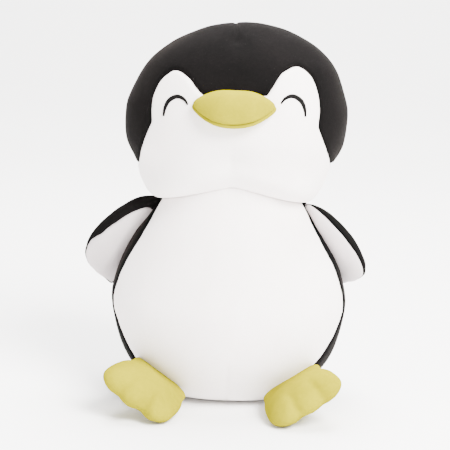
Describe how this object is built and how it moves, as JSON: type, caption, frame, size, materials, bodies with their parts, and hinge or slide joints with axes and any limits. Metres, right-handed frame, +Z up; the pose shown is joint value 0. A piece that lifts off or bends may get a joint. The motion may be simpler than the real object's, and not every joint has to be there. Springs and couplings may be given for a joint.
{
  "type": "plush penguin",
  "caption": "Soft stuffed penguin toy that sits upright, with a big round head, a drooping padded beak, sewn arched eyes, side flippers and splayed feet.",
  "frame": {"origin": "the middle of the seat's flat underside, where the toy rests", "axes": "+Z up out of the crown, -Y out of the face, +X to the penguin's own left"},
  "size_m": [0.2127, 0.1832, 0.2799],
  "materials": {
    "black_plush": "short-pile charcoal plush with a soft brownish sheen",
    "white_plush": "short-pile warm white plush",
    "yellow_plush": "short-pile light yellow plush",
    "eye_embroidery": "black satin-stitch thread",
    "label_ribbon": "blank woven satin ribbon",
    "fibrefill": "loose white polyester fibrefill"
  },
  "bodies": {
    "torso": {"belly_panel": "white_plush", "back_panel_left": "black_plush", "back_panel_right": "black_plush", "base_panel": "white_plush", "body_stuffing": "fibrefill"},
    "neck": {"neck_stuffing": "fibrefill"},
    "head": {"face_panel": "white_plush", "hood_front_panel": "black_plush", "hood_back_panel_left": "black_plush", "hood_back_panel_right": "black_plush", "head_stuffing": "fibrefill", "eye_left": "eye_embroidery", "eye_right": "eye_embroidery", "beak_upper_panel": "yellow_plush", "beak_lower_panel": "yellow_plush", "beak_stuffing": "fibrefill"},
    "flipper_left": {"flipper_outer_panel_left": "black_plush", "flipper_inner_panel_left": "white_plush", "flipper_stuffing_left": "fibrefill"},
    "flipper_right": {"flipper_outer_panel_right": "black_plush", "flipper_inner_panel_right": "white_plush", "flipper_stuffing_right": "fibrefill"},
    "foot_left": {"foot_top_panel_left": "yellow_plush", "foot_sole_panel_left": "yellow_plush", "foot_stuffing_left": "fibrefill"},
    "foot_right": {"foot_top_panel_right": "yellow_plush", "foot_sole_panel_right": "yellow_plush", "foot_stuffing_right": "fibrefill"},
    "label": {"care_label": "label_ribbon"}
  },
  "joints": [
    {"name": "head_turn", "type": "hinge", "parent": "torso", "child": "neck", "pos_m": [0, 0, 0.132], "axis": [0, 0, 1], "range_deg": [-14, 14], "stiffness_Nm_per_rad": 0.6},
    {"name": "head_nod", "type": "hinge", "parent": "neck", "child": "head", "pos_m": [0, 0, 0.132], "axis": [1, 0, 0], "range_deg": [-8, 8], "stiffness_Nm_per_rad": 1.6},
    {"name": "flipper_flap_left", "type": "hinge", "parent": "torso", "child": "flipper_left", "pos_m": [0.054, -0.006, 0.147], "axis": [0.4412, 0.342, -0.8297], "range_deg": [-50, 12], "stiffness_Nm_per_rad": 0.05},
    {"name": "flipper_flap_right", "type": "hinge", "parent": "torso", "child": "flipper_right", "pos_m": [-0.054, -0.006, 0.147], "axis": [0.4412, -0.342, 0.8297], "range_deg": [-35, 30], "stiffness_Nm_per_rad": 0.05},
    {"name": "foot_bend_left", "type": "hinge", "parent": "torso", "child": "foot_left", "pos_m": [0.047, -0.044, 0.0225], "axis": [-0.8352, -0.1928, -0.515], "range_deg": [-10, 28], "stiffness_Nm_per_rad": 0.15},
    {"name": "foot_bend_right", "type": "hinge", "parent": "torso", "child": "foot_right", "pos_m": [-0.047, -0.044, 0.0225], "axis": [-0.8002, 0.3072, 0.515], "range_deg": [-10, 28], "stiffness_Nm_per_rad": 0.15},
    {"name": "label_flap", "type": "hinge", "parent": "torso", "child": "label", "pos_m": [0, 0.0617, 0.034], "axis": [0, 0.309, 0.9511], "range_deg": [-45, 45], "stiffness_Nm_per_rad": 0.0015}
  ]
}
